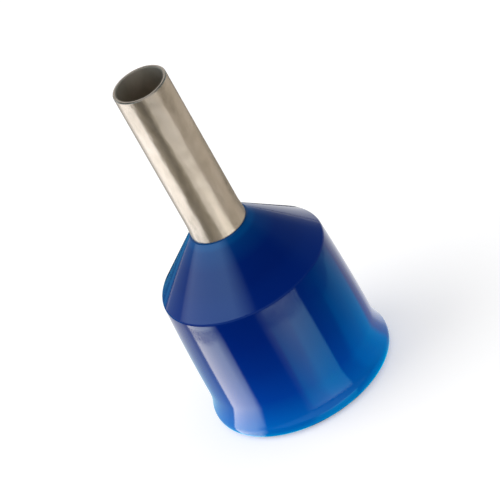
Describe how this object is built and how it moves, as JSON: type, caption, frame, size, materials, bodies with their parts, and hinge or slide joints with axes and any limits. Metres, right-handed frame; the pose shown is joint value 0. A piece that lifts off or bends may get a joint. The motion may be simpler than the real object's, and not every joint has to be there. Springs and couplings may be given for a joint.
{
  "type": "wire ferrule",
  "caption": "Insulated wire ferrule: thin tinned-copper sleeve held in the coned neck of a wide blue plastic collar with a flared open lip.",
  "frame": {"origin": "centre of the collar's open rim, on the plane that the rim stands on", "axes": "+Z along the axis, from the open rim of the collar to the cut end of the sleeve; X and Y are any two square directions, because the part is round"},
  "size_m": [0.0084, 0.0084, 0.0169],
  "materials": {
    "tinned_copper": "satin tin plating over copper, faintly mottled, drawn along the tube",
    "blue_plastic": "smooth glossy polypropylene, deep blue and slightly translucent where the wall is thin"
  },
  "bodies": {
    "root": {"metal_sleeve": "tinned_copper", "insulating_collar": "blue_plastic"}
  },
  "joints": []
}
